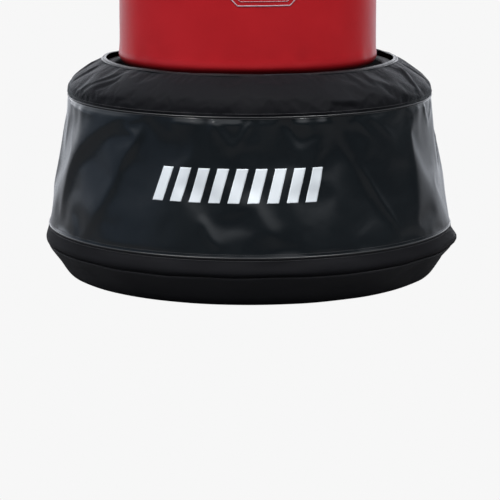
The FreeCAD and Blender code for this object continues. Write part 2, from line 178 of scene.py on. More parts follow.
def make_floor():
    """A large pale floor that runs into the backdrop with no visible edge, and is bright behind the object."""
    mesh = bpy.data.meshes.new("floor")
    corners = [(x * FLOOR_HALF, y * FLOOR_HALF, 0) for x, y in ((-1, -1), (1, -1), (1, 1), (-1, 1))]
    mesh.from_pydata(corners, [], [(0, 1, 2, 3)])
    material = bpy.data.materials.new("floor_paint")
    material.use_nodes = True
    tree = material.node_tree
    tree.nodes.clear()
    place = add_node(tree, "TexCoord").outputs["Object"]
    direction = add_node(tree, "VectorMath", {0: place}, operation="NORMALIZE").outputs["Vector"]
    strength = remap(tree, facing(tree, direction, (0.03, 0.9995, 0.0)), 0.0, 0.82, 0.42, 1.0)
    glow = add_node(tree, "Emission", {"Color": rgba(0.95, 1.0, 1.09), "Strength": strength})
    matte = add_node(tree, "BsdfDiffuse", {"Color": rgba(0.10, 0.10, 0.103)})
    lit = add_node(tree, "AddShader", {0: matte.outputs[0], 1: glow.outputs[0]})
    show(tree, "OutputMaterial", lit, add_node(tree, "Emission", {"Color": BACKDROP}))
    mesh.materials.append(material)
    new_object("floor", mesh)


make_camera()
make_world()
make_floor()
make_softbox("softbox_left", (-1.8, -1.3, 4.0), 205, (1.0, 0.995, 0.99))
make_softbox("softbox_right", (1.8, -1.5, 3.9), 185, (1, 1, 1))
bpy.context.scene.view_settings.view_transform = "Standard"


# ================================== mesh tools
def smoothstep(x, low, high):
    t = np.clip((x - low) / (high - low), 0, 1)
    return t * t * (3 - 2 * t)


def bell(x, middle, width):
    """1 at the middle, falling smoothly to almost nothing at two widths from it."""
    return np.exp(-(((x - middle) / width) ** 2))


def unit(vectors):
    """The same directions with a length of 1."""
    return vectors / np.linalg.norm(vectors, axis=-1, keepdims=True)


def add_object(name, mesh, material):
    mesh.materials.append(material)
    return new_object(name, mesh)


def grid(name, points, uv, material, wrap=True, flip=False):
    """A quad mesh through points[row, column] with a UV in metres at each, closed round the columns if wrap."""
    rows, columns = points.shape[:2]
    count = columns - 1 if wrap else columns
    index = np.arange(rows * count).reshape(rows, count)
    if wrap:
        index = np.concatenate([index, index[:, :1]], axis=1)
    corners = [(0, 0), (0, 1), (1, 1), (1, 0)]
    if flip:
        corners = corners[::-1]

    def pick(table):
        return np.stack([table[r:rows - 1 + r, c:columns - 1 + c] for r, c in corners], axis=2)

    quads = pick(index).reshape(-1, 4)
    mesh = bpy.data.meshes.new(name)
    mesh.from_pydata(points[:, :count].reshape(-1, 3).tolist(), [], quads.tolist())
    layer = mesh.uv_layers.new(name="cloth")
    layer.data.foreach_set("uv", pick(uv).reshape(-1).astype(np.float32))
    mesh.polygons.foreach_set("use_smooth", np.ones(len(quads), bool))
    mesh.update()
    return add_object(name, mesh, material)


def thicken(piece, thickness, offset=-1.0):
    """Gives a sheet its real thickness, inwards by default."""
    solid = piece.modifiers.new("thickness", "SOLIDIFY")
    solid.thickness = thickness
    solid.offset = offset


def run_along(path):
    """The distance along a path to each of its points."""
    return np.concatenate([[0], np.cumsum(np.linalg.norm(np.diff(path, axis=0), axis=1))])


def curve_through(corners, count):
    """count points evenly along a smooth curve through (radius, height) corners in millimetres, in metres."""
    p = np.array(corners, float) * MM
    p = np.vstack([2 * p[0] - p[1], p, 2 * p[-1] - p[-2]])
    t = np.linspace(0, 1, 24, endpoint=False)[:, None]
    dense = []
    for a, b, c, d in zip(p, p[1:], p[2:], p[3:]):
        bend = (2 * a - 5 * b + 4 * c - d) * t**2 + (3 * b - a - 3 * c + d) * t**3
        dense.append(0.5 * (2 * b + (c - a) * t + bend))
    dense = np.vstack(dense + [p[-2][None]])
    run = run_along(dense)
    at = np.linspace(0, run[-1], count)
    return np.stack([np.interp(at, run, dense[:, k]) for k in (0, 1)], axis=1), run[-1]


def outline_normals(line):
    """The outward normals of an outline that runs upwards."""
    tangent = unit(np.gradient(line, axis=0))
    return np.stack([tangent[:, 1], -tangent[:, 0]], axis=1)


def round_z(radius, height, angle, shift=0.0):
    """Points at a radius and height, at an angle in degrees from the front."""
    turn = np.radians(angle)
    return np.stack([radius * np.sin(turn) + shift, -radius * np.cos(turn), height + 0 * turn], axis=-1)


def stand_off(line, normal, offset, angle, shift=0.0):
    """Points round the object along a (radius, height) line, moved off it by offset along its normals."""
    return round_z(line[:, :1] + offset * normal[:, :1], line[:, 1:] + offset * normal[:, 1:], angle, shift)


def tube_mesh(name, path, radius, material, sides=10):
    """A cord of that radius along a ring of points."""
    tangent = unit(np.roll(path, -1, 0) - np.roll(path, 1, 0))
    side = unit(np.cross(tangent, (0, 0, 1.0)))
    lift = np.cross(side, tangent)
    turn = np.linspace(0, 2 * math.pi, sides + 1)
    ring = np.cos(turn)[None, :, None] * side[:, None] + np.sin(turn)[None, :, None] * lift[:, None]
    points = path[:, None] + radius * ring
    points = np.concatenate([points, points[:1]])
    run = run_along(np.vstack([path, path[:1]]))
    piece = grid(name, points, paired(run[:, None], (turn * radius)[None]), material)
    weld(piece)
    return piece


def paired(u, v):
    """A table of (u, v) at each point of a grid."""
    return np.stack(np.broadcast_arrays(u, v), axis=-1)


def weld(piece, distance=1e-6):
    bm = bmesh.new()
    bm.from_mesh(piece.data)
    bmesh.ops.remove_doubles(bm, verts=bm.verts, dist=distance)
    bm.to_mesh(piece.data)
    bm.free()


def merge(pieces, name):
    """Joins several pieces into one object."""
    with bpy.context.temp_override(active_object=pieces[0], selected_editable_objects=pieces):
        bpy.ops.object.join()
    pieces[0].name = name
    pieces[0].data.name = name
    return pieces[0]


def ringed_solids(name, vertices, sides, levels, material, smooth):
    """Many small closed solids in one mesh, each made of levels of rings with so many sides."""
    faces = []
    for base in range(0, len(vertices), sides * levels):
        top = base + sides * (levels - 1)
        for a in range(base, top):
            b = a + 1 if (a + 1 - base) % sides else a + 1 - sides
            faces.append((a, b, b + sides, a + sides))
        faces += [tuple(range(base, base + sides))[::-1], tuple(range(top, top + sides))]
    mesh = bpy.data.meshes.new(name)
    mesh.from_pydata(vertices, [], faces)
    mesh.polygons.foreach_set("use_smooth", [smooth] * len(faces))
    mesh.update()
    return add_object(name, mesh, material)


def stitch_row(name, path, outward, material, length=3.0 * MM, pitch=4.2 * MM, thread=0.42 * MM, closed=True):
    """Separate thread stitches along a path, each dipping into the cloth at both ends."""
    path, outward = np.asarray(path, float), np.asarray(outward, float)
    if closed:
        path, outward = np.vstack([path, path[:1]]), np.vstack([outward, outward[:1]])
    run = run_along(path)
    count = int(run[-1] / pitch)
    start = (np.arange(count) + 0.5) * run[-1] / count
    steps = np.linspace(-0.5, 0.5, 5)
    lifts = np.array([-0.9, 0.35, 0.6, 0.35, -0.9]) * thread
    fat = np.array([0.55, 0.95, 1.0, 0.95, 0.55]) * thread
    sides = 6
    turn = np.arange(sides) * 2 * math.pi / sides
    at = start[:, None] + steps[None] * length
    centre = np.stack([np.interp(at, run, path[:, k]) for k in range(3)], axis=-1)
    out = unit(np.stack([np.interp(at, run, outward[:, k]) for k in range(3)], axis=-1))
    along = unit(centre[:, 4:5] - centre[:, 0:1])
    across = np.cross(np.broadcast_to(along, out.shape), out)
    centre = centre + out * lifts[None, :, None]
    cos, sin = np.cos(turn)[:, None], np.sin(turn)[:, None]
    ring = cos * across[:, :, None] + sin * out[:, :, None]
    points = centre[:, :, None] + ring * fat[None, :, None, None]
    return ringed_solids(name, points.reshape(-1, 3).tolist(), sides, len(steps), material, True)


# ================================== cloth simulation
def start_cloth(piece, held=(), grow=0.0, bend=0.5, pressure=0.0, stiffness=15.0):
    """Sets a piece up as cloth with no gravity: cut larger by grow, blown by pressure, held at some points."""
    sheet = piece.modifiers.new("cloth", "CLOTH").settings
    for name, value in {
        "quality": 6, "mass": 0.4, "tension_stiffness": stiffness, "compression_stiffness": stiffness,
        "shear_stiffness": 5, "bending_stiffness": bend, "air_damping": 2, "shrink_min": -grow,
    }.items():
        setattr(sheet, name, value)
    sheet.effector_weights.gravity = 0
    if pressure:
        sheet.use_pressure = True
        sheet.uniform_pressure_force = pressure
    if len(held):
        piece.vertex_groups.new(name="held").add(list(held), 1.0, "REPLACE")
        sheet.vertex_group_mass = "held"


def remesh(piece, voxel):
    """Turns a piece's mesh into even quads of that size."""
    step = piece.modifiers.new("remesh", "REMESH")
    step.mode = "VOXEL"
    step.voxel_size = voxel
    step.use_smooth_shade = True
    solved = bpy.data.meshes.new_from_object(piece.evaluated_get(bpy.context.evaluated_depsgraph_get()))
    piece.modifiers.clear()
    piece.data = solved


def mesh_points(mesh):
    points = np.empty(len(mesh.vertices) * 3)
    mesh.vertices.foreach_get("co", points)
    return points.reshape(-1, 3)


def keep_off(piece, node, gap):
    """Pushes a sheet's points out to that gap from a CAD node, so that it rests on the node."""
    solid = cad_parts[node].data
    tree = BVHTree.FromPolygons([v.co for v in solid.vertices], [p.vertices for p in solid.polygons])
    for vertex in piece.data.vertices:
        place, normal, _, _ = tree.find_nearest(vertex.co, 20 * MM)
        if place is not None:
            lack = gap - (vertex.co - place).dot(normal)
            if lack > 0:
                vertex.co += normal * lack
    piece.data.update()


def run_cloth(caps, frames=20):
    """Steps every piece's cloth together, keeps each move under its cap and writes it into the mesh."""
    scene = bpy.context.scene
    start = {piece: mesh_points(piece.data) for piece in caps}
    for frame_number in range(1, frames + 1):
        scene.frame_set(frame_number)
    moved = {}
    for piece, cap in caps.items():
        solved = piece.evaluated_get(bpy.context.evaluated_depsgraph_get()).data
        move = mesh_points(solved) - start[piece]
        size = np.maximum(np.linalg.norm(move, axis=1), 1e-9)
        moved[piece] = start[piece] + move * (cap * np.tanh(size / cap) / size)[:, None]
    for piece, points in moved.items():
        piece.modifiers.remove(piece.modifiers["cloth"])
        piece.vertex_groups.clear()
        piece.data.vertices.foreach_set("co", points.ravel())
        piece.data.update()
    scene.frame_set(1)


# ================================== materials
def coordinates(tree, kind, scale=(1, 1, 1)):
    """The object's own coordinates or its UVs, stretched by scale."""
    vector = add_node(tree, "TexCoord").outputs[kind]
    return add_node(tree, "Mapping", {"Vector": vector, "Scale": scale}).outputs["Vector"]


def noise(tree, vector, scale, detail=3.0, roughness=0.55):
    sockets = {"Vector": vector, "Scale": scale, "Detail": detail, "Roughness": roughness}
    return add_node(tree, "TexNoise", sockets).outputs["Fac"]


def maths(tree, operation, a, b):
    return add_node(tree, "Math", {0: a, 1: b}, operation=operation).outputs[0]


def grain(tree, vector, cell):
    """Leather-like pebbles of that size."""
    sockets = {"Vector": vector, "Scale": 1 / cell, "Randomness": 0.9, "Smoothness": 0.6}
    return add_node(tree, "TexVoronoi", sockets, feature="SMOOTH_F1").outputs["Distance"]


def weave(tree, vector, thread):
    """Plain weave: warp and weft ridges that pass over each other in turn."""
    # A wave texture's bands lie 0.314 apart at a scale of 1.
    sockets = {"Vector": vector, "Scale": 0.314 / thread, "Distortion": 0.0}
    warp, weft = [
        add_node(tree, "TexWave", sockets, wave_type="BANDS", bands_direction=axis, wave_profile="SIN")
        for axis in ("X", "Y")
    ]
    return maths(tree, "MULTIPLY", warp.outputs["Fac"], weft.outputs["Fac"])


def shader(name, colour, roughness, **inputs):
    """A Principled material with plain values on its sockets, and its node tree."""
    material = bpy.data.materials.new(name)
    material.use_nodes = True
    sockets = material.node_tree.nodes["Principled BSDF"].inputs
    for key, value in {"Base_Color": rgba(*colour), "Roughness": roughness, **inputs}.items():
        sockets[key.replace("_", " ")].default_value = value
    return material, material.node_tree


def dress(tree, bumps, gloss=None, tone=None, dark=None, light=None):
    """Gives a material (height, strength, distance) bumps, and a roughness and a tone between two colours."""
    sockets = tree.nodes["Principled BSDF"].inputs
    below = {}
    for height, strength, distance in bumps:
        values = {"Height": height, "Strength": strength, "Distance": distance, **below}
        below = {"Normal": add_node(tree, "Bump", values).outputs["Normal"]}
    feed(tree, below["Normal"], sockets["Normal"])
    if gloss is not None:
        feed(tree, gloss, sockets["Roughness"])
    if tone is not None:
        feed(tree, mix_colours(tree, tone, rgba(*dark), rgba(*light)), sockets["Base Color"])


# One material's roughness stays wholly above or below 0.27: the renderer leaves dark specks where it crosses.
def vinyl(name, dark, light, roughness, cell, grain_strength=0.16, **inputs):
    """Coated vinyl: pebbled grain, faint clouding of colour and gloss, and a few rubbed patches."""
    material, tree = shader(name, light, roughness, **inputs)
    uv = coordinates(tree, "UV")
    cloud, fine, dents = noise(tree, uv, 7.0, 4.0), noise(tree, uv, 90.0, 5.0, 0.6), noise(tree, uv, 30.0)
    patches, flecks = remap(tree, cloud, -0.03, 0.03), remap(tree, fine, roughness - 0.02, roughness + 0.02)
    gloss = maths(tree, "ADD", patches, flecks)
    bumps = [(dents, 0.25, 1.2 * MM), (grain(tree, uv, cell), grain_strength, 0.35 * MM)]
    dress(tree, bumps, gloss, remap(tree, cloud, 0.0, 1.0), dark, light)
    return material


def shade_foot(material, low, high, colour):
    """Darkens the vinyl's colour where it turns under the bag, between two distances from its lower edge:
    painted shade.
    """
    tree = material.node_tree
    height = add_node(tree, "SeparateXYZ", {0: coordinates(tree, "UV")}).outputs["Y"]
    base = tree.nodes["Principled BSDF"].inputs["Base Color"]
    shade = remap(tree, height, 0.0, 1.0, low, high)
    feed(tree, mix_colours(tree, shade, rgba(*colour), base.links[0].from_socket), base)


def cloth(name, dark, light, roughness, thread, strength=0.35, **inputs):
    """Woven cloth: thread ridges, uneven dye and a little fuzz."""
    material, tree = shader(name, light, roughness, **inputs)
    uv = coordinates(tree, "UV")
    cloud, speck, soft = noise(tree, uv, 9.0, 4.0), noise(tree, uv, 420.0, 2.0), noise(tree, uv, 45.0)
    tone = maths(tree, "ADD", remap(tree, cloud, 0.0, 0.7), remap(tree, speck, 0.0, 0.3))
    gloss = remap(tree, cloud, roughness - 0.06, roughness + 0.06)
    bumps = [(soft, 0.18, 0.8 * MM), (weave(tree, uv, thread), strength, 0.25 * MM)]
    dress(tree, bumps, gloss, tone, dark, light)
    return material


def moulded(name, dark, light, roughness, pebble=0.8 * MM, strength=0.2, **inputs):
    """Moulded plastic or rubber, with a fine matte texture and faint marks."""
    material, tree = shader(name, light, roughness, **inputs)
    place = coordinates(tree, "Object")
    cloud = noise(tree, place, 14.0, 4.0)
    scuffs = noise(tree, coordinates(tree, "Object", (1, 1, 0.15)), 160.0, 4.0, 0.7)
    gloss = remap(tree, scuffs, roughness - 0.08, roughness + 0.1, 0.35)
    bumps = [(noise(tree, place, 0.5 / pebble, 2.0), strength, 0.3 * MM)]
    dress(tree, bumps, gloss, remap(tree, cloud, 0.0, 1.0), dark, light)
    return material


def metal(name, colour, roughness):
    """Metal brushed along the object's height."""
    material, tree = shader(name, colour, roughness, Metallic=1.0)
    brushed = noise(tree, coordinates(tree, "Object", (1, 1, 0.1)), 900.0, 3.0, 0.7)
    dress(tree, [(brushed, 0.1, 0.1 * MM)], remap(tree, brushed, roughness - 0.07, roughness + 0.12))
    return material


# The top and bottom panels' red is the side's red vinyl at three quarters of its colour and with less specular:
# painted shade, so the top, lit from above, looks no lighter than the side.
RED_PAINTED_SHADE = vinyl("red_vinyl", (0.26, 0.0055, 0.0085), (0.31, 0.0070, 0.0105), 0.36, 1.4 * MM, grain_strength=0.20,
            Specular_IOR_Level=0.25)
RED_SIDE = vinyl("red_vinyl_side", (0.36, 0.0075, 0.0115), (0.43, 0.0095, 0.0145), 0.335, 1.4 * MM,
                 grain_strength=0.20, Specular_IOR_Level=0.38)
# Painted shade along the foot of the red side, where it turns under the bag.
shade_foot(RED_SIDE, 0.020, 0.050, (0.085, 0.0012, 0.0025))
RED_PIPING = vinyl("red_piping", (0.30, 0.008, 0.012), (0.36, 0.011, 0.016), 0.40, 0.9 * MM)
BLACK_VINYL = vinyl("black_vinyl", (0.0034, 0.0052, 0.0066), (0.0050, 0.0072, 0.0088), 0.21, 0.9 * MM,
                    Specular_IOR_Level=0.5, Coat_Weight=0.12, Coat_Roughness=0.10)
NYLON = cloth("black_nylon", (0.0020, 0.0022, 0.0031), (0.0038, 0.0040, 0.0053), 0.60, 0.55 * MM,
              Sheen_Weight=0.18, Sheen_Roughness=0.3, Specular_IOR_Level=0.06, Sheen_Tint=rgba(0.84, 0.92, 1.0))
LOWER_NYLON = cloth("black_nylon_lower", (0.0035, 0.0036, 0.0048), (0.0060, 0.0061, 0.0076), 0.74, 0.55 * MM,
                    Sheen_Weight=0.02, Sheen_Roughness=0.3, Specular_IOR_Level=0.11)
# The bowl's nylon is the band's nylon at about twice its colour, with more sheen and specular: painted light,
# which brightens the bowl where the floor lights it too little.
BOWL_NYLON_PAINTED_LIGHT = cloth("black_nylon_bowl_painted_light", (0.0075, 0.0076, 0.0095), (0.0120, 0.0121, 0.0145), 0.66, 0.55 * MM,
                   Sheen_Weight=0.04, Sheen_Roughness=0.3, Specular_IOR_Level=0.3)
BINDING = cloth("binding_tape", (0.0022, 0.0023, 0.0032), (0.0038, 0.0040, 0.0052), 0.34, 0.8 * MM, 0.4,
                Specular_IOR_Level=0.08)
PIPING = vinyl("black_piping", (0.012, 0.013, 0.014), (0.020, 0.021, 0.023), 0.34, 0.7 * MM)
THREAD = cloth("black_thread", (0.018, 0.018, 0.020), (0.04, 0.04, 0.044), 0.55, 0.25 * MM)
RED_THREAD = cloth("dark_red_thread", (0.16, 0.006, 0.009), (0.24, 0.010, 0.014), 0.55, 0.25 * MM)
PRINT = vinyl("white_print", (0.60, 0.645, 0.68), (0.68, 0.725, 0.76), 0.50, 0.9 * MM, grain_strength=0.12)
BADGE = vinyl("badge_print", (0.36, 0.26, 0.30), (0.44, 0.32, 0.36), 0.45, 0.9 * MM, grain_strength=0.1)
FOAM = moulded("foam_skin", (0.55, 0.53, 0.47), (0.66, 0.64, 0.58), 0.85, 2.2 * MM, 0.6)
TAPE_CLOTH = cloth("zip_tape_cloth", (0.016, 0.016, 0.018), (0.026, 0.026, 0.029), 0.72, 0.7 * MM, 0.6)
TANK = moulded("tank_plastic", (0.010, 0.010, 0.012), (0.016, 0.016, 0.018), 0.72, Specular_IOR_Level=0.12)
CORE = moulded("core_plastic", (0.040, 0.040, 0.044), (0.058, 0.058, 0.062), 0.5)
CAP = moulded("cap_plastic", (0.020, 0.020, 0.022), (0.030, 0.030, 0.033), 0.4)
RUBBER = moulded("gasket_rubber", (0.018, 0.018, 0.019), (0.028, 0.028, 0.029), 0.75, 0.5 * MM)
ELASTIC = cloth("elastic", (0.05, 0.05, 0.052), (0.09, 0.09, 0.094), 0.8, 0.8 * MM, 0.5)
TEETH = moulded("zip_teeth", (0.016, 0.016, 0.018), (0.026, 0.026, 0.028), 0.38, 0.3 * MM, 0.1)
ZIP_METAL = metal("zip_metal", (0.10, 0.10, 0.105), 0.36)
STOP_METAL = metal("stop_metal", (0.60, 0.60, 0.62), 0.36)
WATER, water_tree = shader("water", (0.72, 0.86, 0.88), 0.05, Transmission_Weight=1.0, IOR=1.333)
dress(water_tree, [(noise(water_tree, coordinates(water_tree, "Object"), 18.0, 2.0), 0.1, 1.0 * MM)])


# ================================== base cover: outline and folds
BOWL_LINE = [(321.5, 1.2), (328, 3), (338, 14), (349, 31), (357.5, 43), (363.5, 51), (365.5, 55.5)]
BAND_LINE = [(364.6, 56.4), (368.0, 60), (368.4, 66), (365.8, 75), (362.4, 85), (361.8, 88)]
SKIRT_LINE = [(362.6, 87), (359.6, 96), (350.5, 147), (343.5, 183), (337, 219), (331.5, 255), (327, 291),
              (324.6, 320)]
YOKE_LINE = [(325.6, 321), (325.2, 329), (321.8, 338), (316, 346), (299.5, 359.5), (280.5, 373), (267, 380),
             (258.5, 384)]
FOLD_RADIUS = 345.0
COLLAR_RADIUS = 260.0
LOW_SEAM, TOP_SEAM, COLLAR_EDGE = 88, 321, 384

# Each fold of the cover: its crest as (angle, height) points from the top down, the height of the crest over
# the cloth, and how far it reaches to its left and right. Lengths in millimetres; a negative crest is a valley.
SKIRT_FOLDS = [
    ([(-37, 324), (-47, 295), (-59, 249), (-65, 209), (-68, 163), (-71, 118), (-73, 76)], 6.0, 44, 17),
    ([(-33, 319), (-35, 281), (-40, 233), (-43, 189), (-47, 149), (-53, 100), (-58, 56)], 5.5, 38, 13),
    ([(-84, 290), (-87, 240), (-86, 190), (-90, 130), (-88, 98)], 2.4, 11, 9),
    ([(-74, 300), (-77, 262), (-80, 220)], 0.8, 10, 8),
    ([(-11, 316), (-9, 296), (-6, 276), (-3, 250)], 2.4, 14, 10),
    ([(1, 318), (-2, 291), (-4, 262)], 2.2, 7, 9),
    ([(-14, 160), (-11, 127), (-7, 94)], 2.2, 12, 9),
    ([(25, 319), (27, 273), (31, 233), (34, 195), (38, 145), (43, 100)], -4.6, 58, 14),
    ([(9, 318), (13, 292), (16, 262)], -2.4, 8, 16),
    ([(0, 200), (4, 145), (9, 100)], 2.6, 26, 14),
    ([(33, 244), (40, 171), (48, 98)], 2.6, 7, 6),
    ([(38, 318), (43, 292), (50, 262)], 1.5, 8, 7),
    ([(32, 318), (35, 300), (41, 268)], 1.2, 6, 7),
    ([(68, 319), (70, 296), (74, 272)], 1.6, 6, 5),
    ([(80, 322), (77, 300), (73, 282)], 1.6, 4, 6),
    ([(57, 350), (57, 240), (56, 150), (54, 40)], 2.3, 13, 30),
    ([(80, 262), (84, 232), (85, 205), (83, 180)], 2.4, 4, 7),
    ([(92, 317), (94, 240), (92, 170), (90, 100)], 2.6, 9, 12),
    ([(104, 319), (111, 250), (120, 180), (127, 110)], 4.4, 34, 14),
    ([(143, 319), (140, 240), (134, 170), (130, 105)], -3.8, 14, 30),
    ([(156, 319), (163, 240), (172, 170), (178, 110)], 4.2, 30, 13),
    ([(-168, 319), (-172, 250), (-174, 170)], -2.6, 16, 16),
    ([(-146, 319), (-150, 240), (-143, 170), (-137, 105)], 4.2, 14, 32),
    ([(-124, 319), (-119, 240), (-114, 160), (-112, 100)], -4.0, 26, 12),
    ([(-104, 319), (-107, 250), (-103, 180)], 2.6, 10, 12),
]
YOKE_FOLDS = [
    ([(-52, 378), (-58, 362), (-64, 348), (-70, 332)], 2.4, 13, 3.5),
    ([(-50, 366), (-57, 352), (-64, 337)], 1.5, 7, 3.5),
    ([(-76, 380), (-80, 356), (-82, 334)], 2.4, 8, 7),
    ([(-36, 340), (-50, 334), (-66, 331)], -1.8, 4, 4),
    ([(-90, 381), (-94, 356), (-97, 332)], 3.0, 9, 7),
    ([(42, 374), (47, 365), (52, 356), (59, 346)], 2.2, 6, 10),
    ([(38, 366), (44, 357), (50, 350)], 1.2, 5, 8),
    ([(72, 379), (67, 354), (64, 334)], 3.0, 6, 9),
    ([(56, 344), (66, 336), (76, 331)], -1.4, 4, 5),
    ([(82, 380), (84, 356), (83, 333)], 2.4, 6, 7),
    ([(22, 346), (30, 342), (42, 336)], 1.6, 5, 4),
    ([(24, 338), (29, 334), (36, 331)], -1.8, 4, 5),
    ([(98, 381), (95, 356), (92, 333)], -2.6, 8, 7),
    ([(112, 381), (118, 356), (128, 333)], 3.0, 12, 6),
    ([(146, 381), (140, 356), (137, 333)], -2.8, 7, 12),
    ([(164, 381), (172, 356), (178, 333)], 3.0, 12, 6),
    ([(-156, 381), (-163, 356), (-170, 333)], -2.8, 8, 10),
    ([(-132, 381), (-127, 356), (-118, 333)], 3.0, 6, 12),
]
# Stretches along the upper seam where the skirt swells under it and the yoke dips over it: (from, to, size).
SWELLS = [(-24, -13, 2.2), (-13, -1, 2.7), (10, 25, 2.6), (2, 8, 1.4), (-76, -52, 1.2), (34, 48, 1.0),
          (60, 76, 1.6), (96, 118, 2.4), (126, 150, 2.6), (158, 176, 2.2), (-176, -158, 2.4), (-146, -122, 2.6),
          (-112, -98, 2.0)]
DIPS = [(-24, -2, 2.2), (24, 35, 2.0), (-64, -38, 1.2), (52, 66, 1.2), (100, 124, 2.2), (140, 166, 2.2),
        (-170, -148, 2.2), (-130, -108, 2.0)]


def turn_from(angle, middle):
    return (angle - middle + 180) % 360 - 180


def fold_height(angle, height, path, crest, left, right):
    """Height of one fold over the cloth, in metres, at a grid of angles (columns) and heights."""
    corners = np.array(path, float)
    middle = (corners[:, 0].min() + corners[:, 0].max()) / 2
    corners[:, 0] = np.radians(corners[:, 0] - middle) * FOLD_RADIUS
    line = curve_through(corners, 18)[0] / MM
    total = np.zeros(angle.shape)
    reach = 3.0 * max(left, right) + np.abs(corners[:, 0]).max()
    across = np.radians(turn_from(angle, middle)) * FOLD_RADIUS
    near = np.abs(across) < reach
    u, h = across[near], height[near]
    nearest, side, along = np.full(u.shape, 1e9), np.zeros(u.shape), np.zeros(u.shape)
    for i in range(len(line) - 1):
        start, run = line[i], line[i + 1] - line[i]
        t = np.clip(((u - start[0]) * run[0] + (h - start[1]) * run[1]) / (run @ run), 0, 1)
        dx, dy = u - start[0] - t * run[0], h - start[1] - t * run[1]
        gap = np.hypot(dx, dy)
        closer = gap < nearest
        nearest = np.where(closer, gap, nearest)
        side = np.where(closer, run[0] * dy - run[1] * dx, side)
        along = np.where(closer, (i + t) / (len(line) - 1), along)
    width = np.where(side < 0, left, right) * (0.7 + 0.5 * along)
    fade = smoothstep(along, -0.02, 0.25) * (1 - smoothstep(along, 0.62, 1.0))
    total[near] = crest * MM * np.exp(-(nearest / width) ** 1.7) * fade
    return total


def stretch(angle, start, end):
    """1 between two angles round the object, with soft ends."""
    half = (end - start) / 2
    away = np.abs(turn_from(angle, start + half))
    return 1 - smoothstep(away, 0.55 * half, 1.1 * half)


def ripples(angle, height, seed, count, turns, pitch, size):
    """A sum of slow waves with whole turns round the object, the same for the same seed."""
    draw = np.random.default_rng(seed)
    total = np.zeros(np.broadcast(angle, height).shape)
    for _ in range(count):
        n = draw.integers(turns[0], turns[1] + 1)
        k = draw.uniform(-1, 1) * 2 * math.pi / pitch
        total += np.cos(np.radians(angle) * n + height * k + draw.uniform(0, 2 * math.pi))
    return size * MM * total / math.sqrt(count)


# Where the cloth is held: (height, how far up and down each place holds it).
HELD_AT = ((0, 16), (LOW_SEAM, 14), (TOP_SEAM, 12), (COLLAR_EDGE, 10))


def seam_hold(height):
    """1 in the open cloth, and small where the cloth is held."""
    held = 1.0
    for place, reach in HELD_AT:
        held = held * (0.18 + 0.82 * smoothstep(np.abs(height - place), 0, reach))
    return held


def cover_offset(angle, height):
    """How far the cover's cloth stands off its outline, in metres, at angles and heights in millimetres."""
    angle, height = np.broadcast_arrays(np.asarray(angle, float), np.asarray(height, float))
    total = ripples(angle, height, 3, 10, (2, 7), 260, 1.1) + ripples(angle, height, 4, 14, (8, 22), 130, 0.7)
    for fold in SKIRT_FOLDS + YOKE_FOLDS:
        total = total + fold_height(angle, height, *fold)
    total = total * seam_hold(height)
    below, above = TOP_SEAM - 2 - height, height - (TOP_SEAM + 1)
    crimp = 1 + 0.35 * ripples(angle, height, 6, 12, (30, 70), 400, 1000.0)
    for start, end, size in SWELLS:
        shape = smoothstep(below, 0, 11) * np.exp(-np.clip(below - 11, 0, None) / 22)
        total = total + size * MM * crimp * stretch(angle, start, end) * shape
    for start, end, size in DIPS:
        shape = smoothstep(above, 0, 5) * (1 - smoothstep(above, 6, 15))
        total = total - size * MM * stretch(angle, start, end) * shape
    # The band stands out in a point at the right-hand side.
    flare = bell(turn_from(angle, 85), 0, 8)
    tip = 5.5 * bell(height, 64, 7) - 5.0 * bell(height, 42, 9)
    lumps = ripples(angle, height, 8, 8, (5, 17), 90, 1.7) * bell(height, 34, 15)
    return total + flare * tip * MM + lumps


COVER_COLUMNS = 600
BOWL_ROWS, BAND_ROWS, SKIRT_ROWS, YOKE_ROWS = 22, 14, 62, 34
CLOTH_THICKNESS = 1.4 * MM
TANK_GAP = 0.5 * MM
FLOOR_GAP = 0.6 * MM
SEAM_DEPTH = 2


def all_round(columns=COVER_COLUMNS):
    """Angles all round the object, with the first again at the end."""
    return np.linspace(-180, 180, columns + 1)


def cover_panel(name, line, rows, material, node):
    """A panel of the cover: its outline turned round the object, and moved off it by the cloth's folds."""
    profile, length = curve_through(line, rows)
    angle, height = np.meshgrid(all_round(), profile[:, 1] / MM)
    points = stand_off(profile, outline_normals(profile), cover_offset(angle, height), angle, COVER_SHIFT)
    points[..., 2] = np.maximum(points[..., 2], FLOOR_GAP)
    uv = paired(np.radians(angle) * FOLD_RADIUS * MM, np.linspace(0, length, rows)[:, None])
    panel = grid(name, points, uv, material)
    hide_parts(node)
    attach(panel, "base")
    return panel


def cover_ring(line, row_height, lift):
    """A closed path round the cover at one height of a panel, and the outward normals along it."""
    profile, _ = curve_through(line, 121)
    normal = outline_normals(profile)
    row = int(np.argmin(np.abs(profile[:, 1] / MM - row_height)))
    angle = all_round()[:-1]
    offset = cover_offset(angle, row_height) + lift
    out = round_z(normal[row, 0], normal[row, 1], angle)
    path = round_z(profile[row, 0], profile[row, 1], angle, COVER_SHIFT)
    return path + offset[:, None] * out, out


def held_rows(rows):
    """Vertex numbers of the first and last rows of a cover panel, where seams hold it."""
    numbers = np.arange(rows * COVER_COLUMNS).reshape(rows, COVER_COLUMNS)
    return np.concatenate([numbers[:SEAM_DEPTH], numbers[-SEAM_DEPTH:]]).ravel().tolist()


